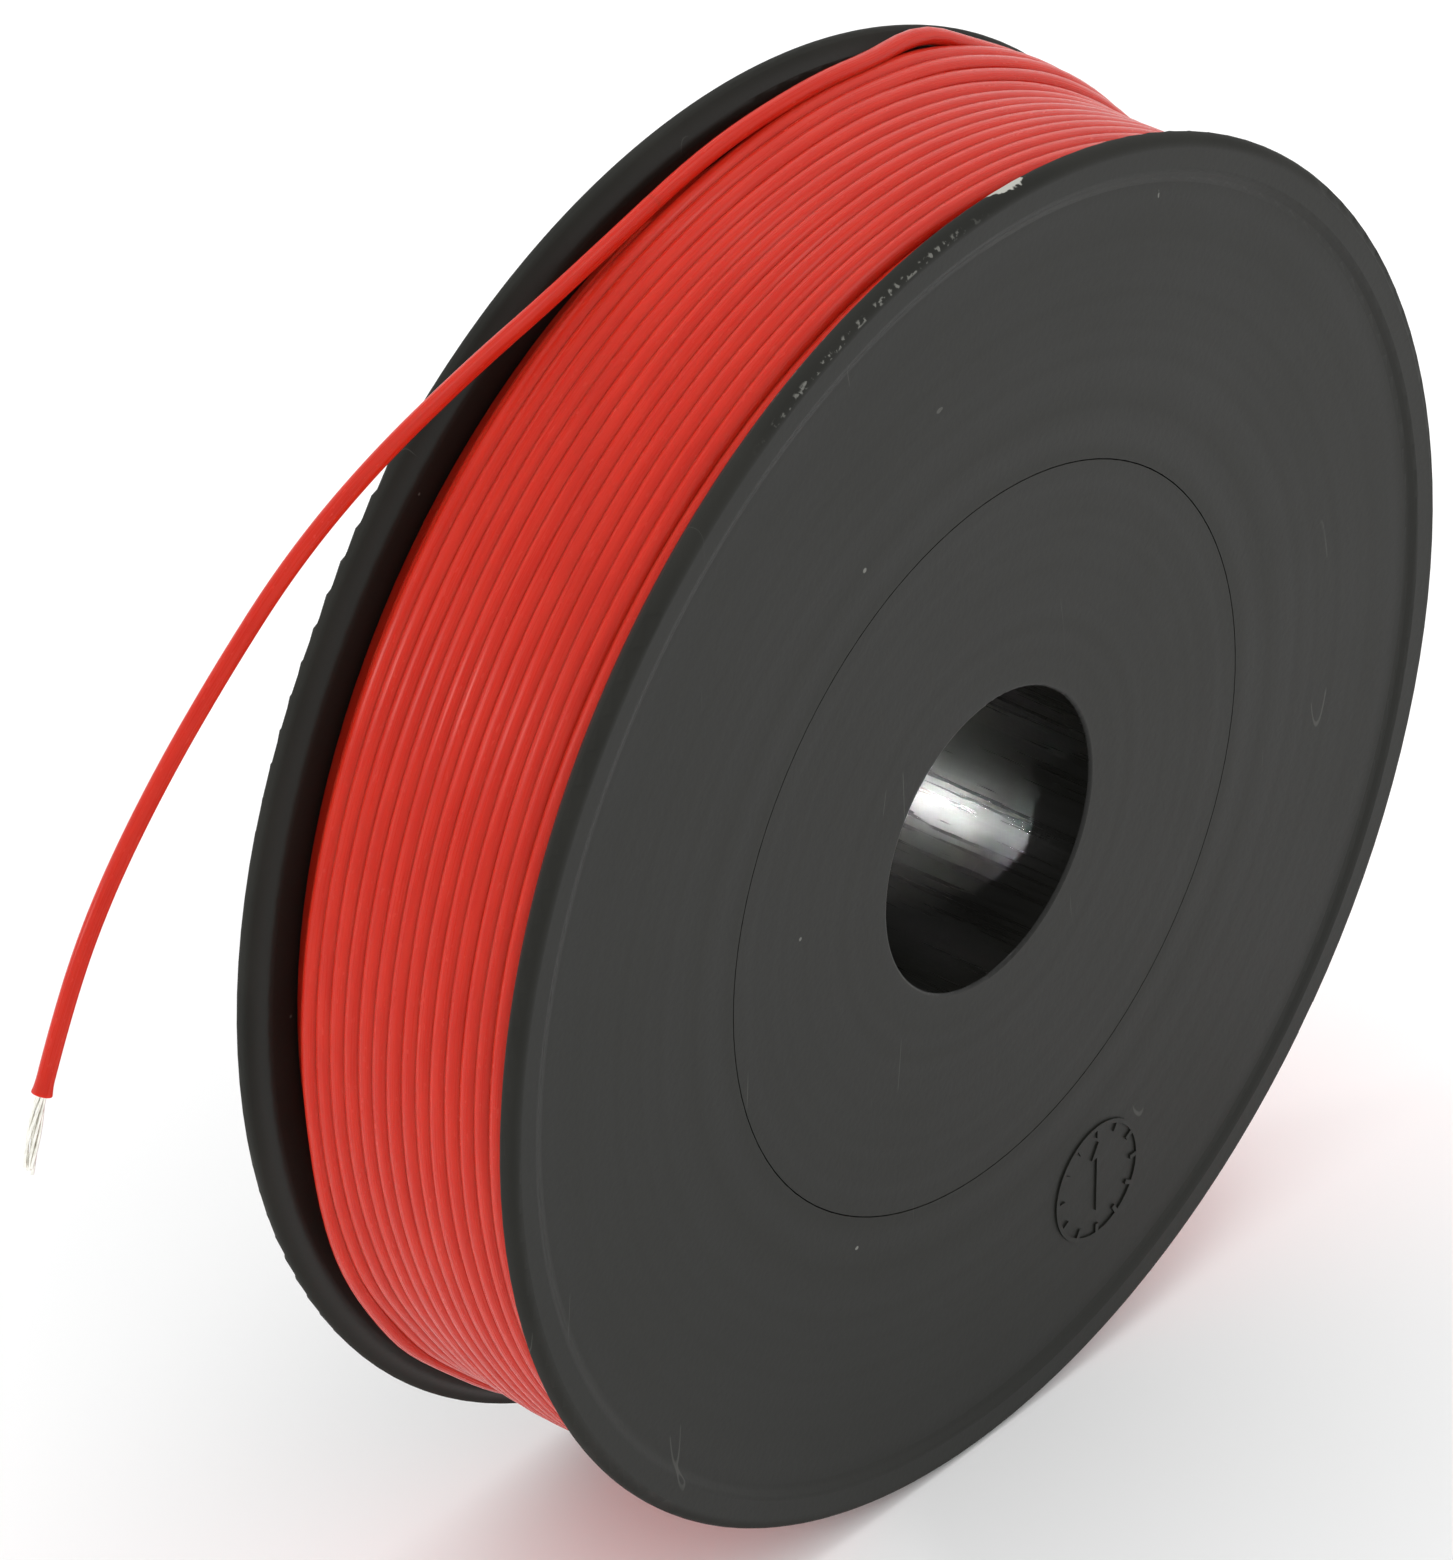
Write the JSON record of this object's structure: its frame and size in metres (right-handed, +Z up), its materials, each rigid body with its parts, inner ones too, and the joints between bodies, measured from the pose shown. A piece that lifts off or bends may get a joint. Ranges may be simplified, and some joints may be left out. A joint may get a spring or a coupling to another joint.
{
  "type": "wire spool",
  "caption": "Two-flanged plastic spool with a wide through bore, full of thin red stranded hook-up wire whose loose end hangs free with a stripped tip.",
  "frame": {"origin": "middle of the through bore, halfway between the two flanges", "axes": "+Y along the spool's axis from the front flange to the rear flange, +Z up with the spool standing on its rims, the wire's loose end out on the -X side"},
  "size_m": [0.1129, 0.0218, 0.09],
  "materials": {
    "spool_plastic": "satin moulded polystyrene, warm near-black",
    "wire_insulation": "smooth red PVC insulation",
    "tinned_copper": "tinned copper strands"
  },
  "bodies": {
    "spool": {"front_flange": "spool_plastic", "rear_flange": "spool_plastic", "winding_barrel": "spool_plastic", "front_hub": "spool_plastic", "rear_hub": "spool_plastic", "wire_winding": "wire_insulation", "wire_top_layer": "wire_insulation", "wire_last_turn": "wire_insulation", "wire_start": "wire_insulation", "wire_lead": "wire_insulation"},
    "wire_tail": {"wire_end": "wire_insulation", "strand_1": "tinned_copper", "strand_2": "tinned_copper", "strand_3": "tinned_copper", "strand_4": "tinned_copper", "strand_5": "tinned_copper", "strand_6": "tinned_copper", "strand_7": "tinned_copper"}
  },
  "joints": [
    {"name": "wire_tail_flex", "type": "hinge", "parent": "spool", "child": "wire_tail", "pos_m": [-0.0189, 0.007, 0.04085], "axis": [0, 1, 0], "range_deg": [-15, 40], "stiffness_Nm_per_rad": 0.0012, "springref_deg": 1.15}
  ]
}
